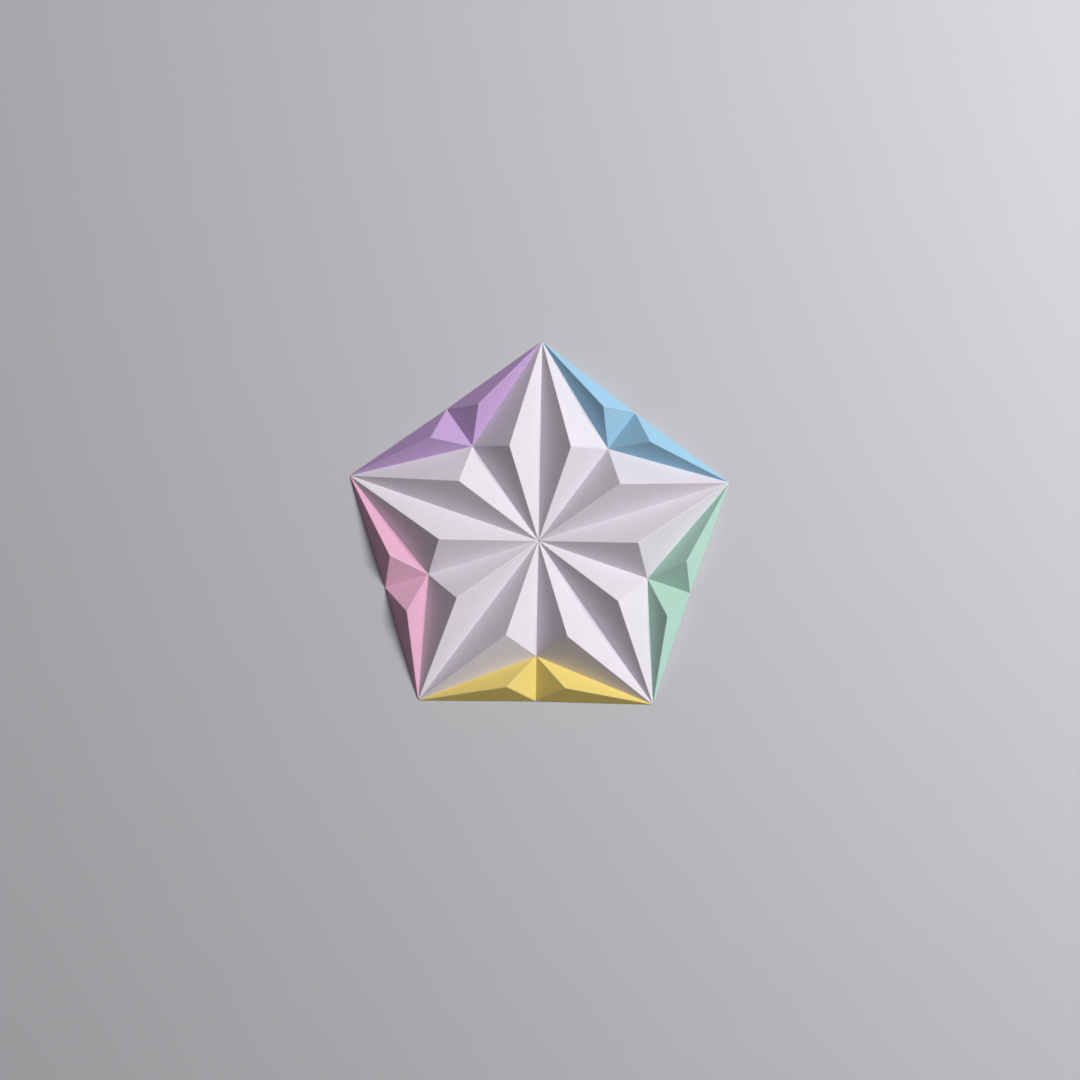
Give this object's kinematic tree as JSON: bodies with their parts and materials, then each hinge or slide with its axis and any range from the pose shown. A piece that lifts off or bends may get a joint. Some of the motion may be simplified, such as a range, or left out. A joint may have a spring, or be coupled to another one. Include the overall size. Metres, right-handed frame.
{
  "type": "modular origami star",
  "caption": "Flat-backed paper relief of folded pyramids: a white star inside a pentagon, with pastel card along its sides.",
  "frame": {"origin": "the middle of the bottom of its box, on the plane that it lies on; the middle of the star is 9.33 mm from it along -Y", "axes": "+Z out of the star's face, +Y to its first tip, the one between the purple and the blue side"},
  "size_m": [0.1894, 0.1804, 0.0132],
  "materials": {
    "white_card": "matt",
    "blue_card": "matt",
    "green_card": "matt",
    "yellow_card": "matt",
    "pink_card": "matt",
    "purple_card": "matt"
  },
  "bodies": {
    "root": {"white_module_1_left": "white_card", "white_module_1_right": "white_card", "white_module_2_left": "white_card", "white_module_2_right": "white_card", "white_module_3_left": "white_card", "white_module_3_right": "white_card", "white_module_4_left": "white_card", "white_module_4_right": "white_card", "white_module_5_left": "white_card", "white_module_5_right": "white_card", "blue_module_1_left": "blue_card", "blue_module_1_right": "blue_card", "green_module_2_left": "green_card", "green_module_2_right": "green_card", "yellow_module_3_left": "yellow_card", "yellow_module_3_right": "yellow_card", "pink_module_4_left": "pink_card", "pink_module_4_right": "pink_card", "purple_module_5_left": "purple_card", "purple_module_5_right": "purple_card"}
  },
  "joints": []
}
